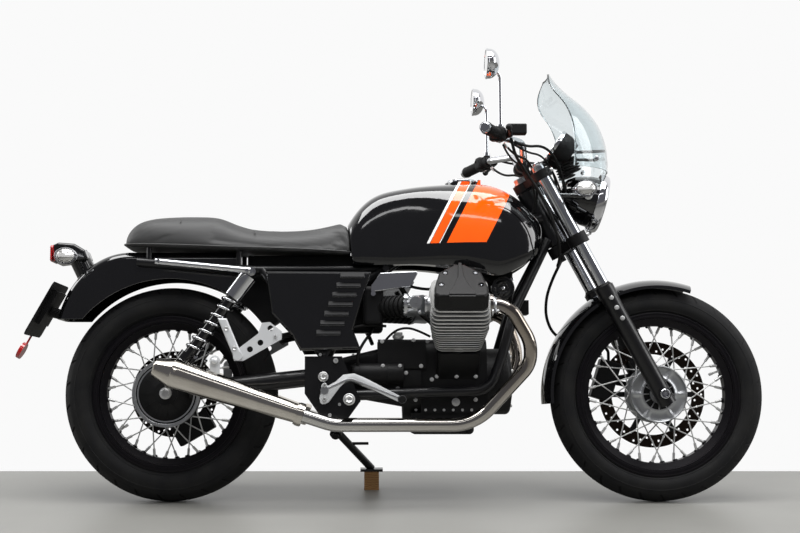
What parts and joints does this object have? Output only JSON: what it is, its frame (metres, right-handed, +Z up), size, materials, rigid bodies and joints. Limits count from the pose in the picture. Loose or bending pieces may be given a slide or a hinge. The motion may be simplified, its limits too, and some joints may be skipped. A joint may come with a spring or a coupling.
{
  "type": "cafe racer motorcycle",
  "caption": "Black roadster motorcycle with a transverse V twin, wire wheels, a striped tank, a small screen and a side stand on a wooden block; it steers and its wheels turn.",
  "frame": {"origin": "centre of the bounding box at floor level", "axes": "+X forward, +Y to the rider's left, +Z up; the motorcycle leans 6 degrees to +Y on its side stand"},
  "size_m": [2.237, 0.7914, 1.3267],
  "materials": {
    "frame_black": "satin",
    "gloss_paint": "gloss",
    "wrinkle_black": "matt",
    "engine_alloy": "satin",
    "cast_alloy": "rough",
    "polished_alloy": "polished",
    "chrome": "mirror",
    "steel": "brushed",
    "exhaust_steel": "polished",
    "rim_black": "satin",
    "black_plastic": "matt",
    "gloss_black": "gloss",
    "black_rubber": "matt",
    "tyre_rubber": "matt",
    "seat_vinyl": "matt",
    "clear_screen": "clear",
    "lamp_glass": "clear",
    "lamp_red": "gloss",
    "plate_white": "satin",
    "wood": "raw"
  },
  "bodies": {
    "chassis": {"main_frame": "frame_black", "engine_cradle": "frame_black", "crankcase": "wrinkle_black", "gearbox": "wrinkle_black", "rocker_covers": "wrinkle_black", "intakes": "black_rubber", "airbox": "black_plastic", "fuel_tank": "gloss_paint", "seat": "seat_vinyl", "chrome_covers": "chrome", "rear_fender": "gloss_paint", "tail_lamp": "lamp_red", "rear_indicators": "chrome", "plate_holder": "plate_white", "seat_rails": "chrome", "shock_absorbers": "frame_black", "shock_springs": "chrome", "swingarm": "frame_black", "final_drive": "cast_alloy", "rear_caliper": "cast_alloy", "rear_axle": "steel", "footpegs": "black_rubber", "foot_controls": "polished_alloy", "horn": "gloss_black", "cylinder_right": "engine_alloy", "header_right": "exhaust_steel", "silencer_right": "exhaust_steel", "side_cover_right": "gloss_paint", "cylinder_left": "engine_alloy", "header_left": "exhaust_steel", "silencer_left": "exhaust_steel", "side_cover_left": "gloss_paint"},
    "steering": {"yokes": "frame_black", "fork_tubes": "chrome", "fork_sliders": "frame_black", "headlamp_shell": "gloss_black", "headlamp_glass": "lamp_glass", "instruments": "black_plastic", "windscreen": "clear_screen", "handlebar": "chrome", "grips": "black_rubber", "hand_controls": "black_plastic", "mirrors": "chrome", "front_fender": "gloss_paint", "front_indicators": "chrome", "front_caliper": "cast_alloy", "brake_hose": "black_rubber"},
    "front_wheel": {"front_tyre": "tyre_rubber", "front_rim": "rim_black", "front_spokes": "steel", "front_hub": "cast_alloy", "front_disc": "steel"},
    "rear_wheel": {"rear_tyre": "tyre_rubber", "rear_rim": "rim_black", "rear_spokes": "steel", "rear_hub": "cast_alloy", "rear_disc": "steel"},
    "side_stand": {"side_stand": "frame_black", "stand_block": "wood"},
    "filler_cap": {"filler_cap": "chrome"}
  },
  "joints": [
    {"name": "steering", "type": "hinge", "parent": "chassis", "child": "steering", "pos_m": [0.46305, -0.02156, 0.84294], "axis": [-0.4695, 0.0923, 0.8781], "range_deg": [-30, 30]},
    {"name": "front_wheel_spin", "type": "hinge", "parent": "steering", "child": "front_wheel", "pos_m": [0.80155, -0.07697, 0.31571], "axis": [0, 0.9945, -0.1045], "continuous": true},
    {"name": "rear_wheel_spin", "type": "hinge", "parent": "chassis", "child": "rear_wheel", "pos_m": [-0.64745, -0.07687, 0.3167], "axis": [0, 0.9945, -0.1045], "continuous": true},
    {"name": "side_stand_fold", "type": "hinge", "parent": "chassis", "child": "side_stand", "pos_m": [-0.15745, 0.0427, 0.19152], "axis": [0.1473, 0.7717, 0.6186], "range_deg": [0, 118]},
    {"name": "filler_cap_hinge", "type": "hinge", "parent": "chassis", "child": "filler_cap", "pos_m": [0.27605, -0.00989, 0.95399], "axis": [0, 0.9945, -0.1045], "range_deg": [0, 95]}
  ]
}
